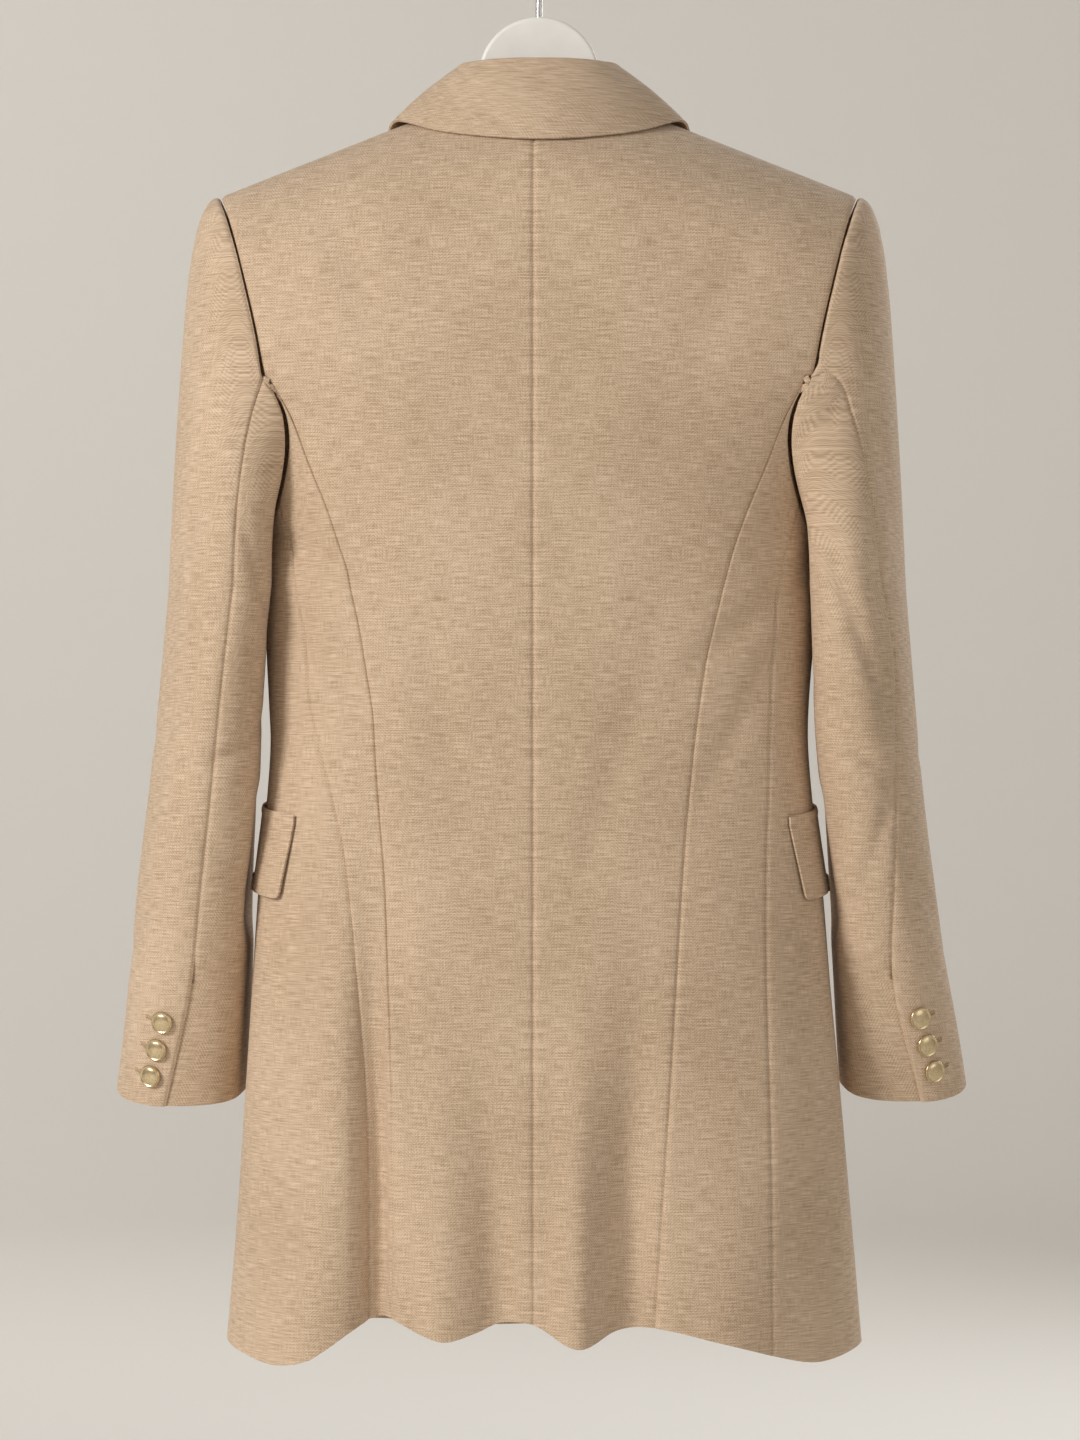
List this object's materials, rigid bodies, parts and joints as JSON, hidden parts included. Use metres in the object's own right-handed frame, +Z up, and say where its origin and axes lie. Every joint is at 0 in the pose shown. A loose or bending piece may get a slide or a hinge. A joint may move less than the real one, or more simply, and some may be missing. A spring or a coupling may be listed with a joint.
{
  "type": "double-breasted blazer on a hanger",
  "caption": "Long-line double-breasted blazer in beige suiting on a white shaped hanger with a steel hook, its back seam-shaped and its cuffs vented.",
  "frame": {"origin": "the inside top of the hanger's hook, where it bears on a rail", "axes": "+Z up, the fronts face -Y and the back +Y, +X to the wearer's left"},
  "size_m": [0.5657, 0.2227, 0.9571],
  "materials": {
    "suiting_cloth": "matte woven wool and linen suiting",
    "button_metal": "satin domed metal",
    "hanger_paint": "smooth white satin",
    "hook_steel": "polished wire"
  },
  "bodies": {
    "root": {"back_left": "suiting_cloth", "back_right": "suiting_cloth", "side_left": "suiting_cloth", "side_right": "suiting_cloth", "front_left": "suiting_cloth", "front_right": "suiting_cloth", "lapel_left": "suiting_cloth", "lapel_right": "suiting_cloth", "collar": "suiting_cloth", "top_sleeve_left": "suiting_cloth", "under_sleeve_left": "suiting_cloth", "top_sleeve_right": "suiting_cloth", "under_sleeve_right": "suiting_cloth", "pocket_welt_left": "suiting_cloth", "pocket_flap_left": "suiting_cloth", "pocket_welt_right": "suiting_cloth", "pocket_flap_right": "suiting_cloth", "cuff_button_left_1": "button_metal", "cuff_button_left_2": "button_metal", "cuff_button_left_3": "button_metal", "cuff_button_right_1": "button_metal", "cuff_button_right_2": "button_metal", "cuff_button_right_3": "button_metal", "front_button_left_1": "button_metal", "front_button_right_1": "button_metal", "front_button_left_2": "button_metal", "front_button_right_2": "button_metal", "front_button_left_3": "button_metal", "front_button_right_3": "button_metal", "hanger": "hanger_paint", "hook": "hook_steel"}
  },
  "joints": []
}
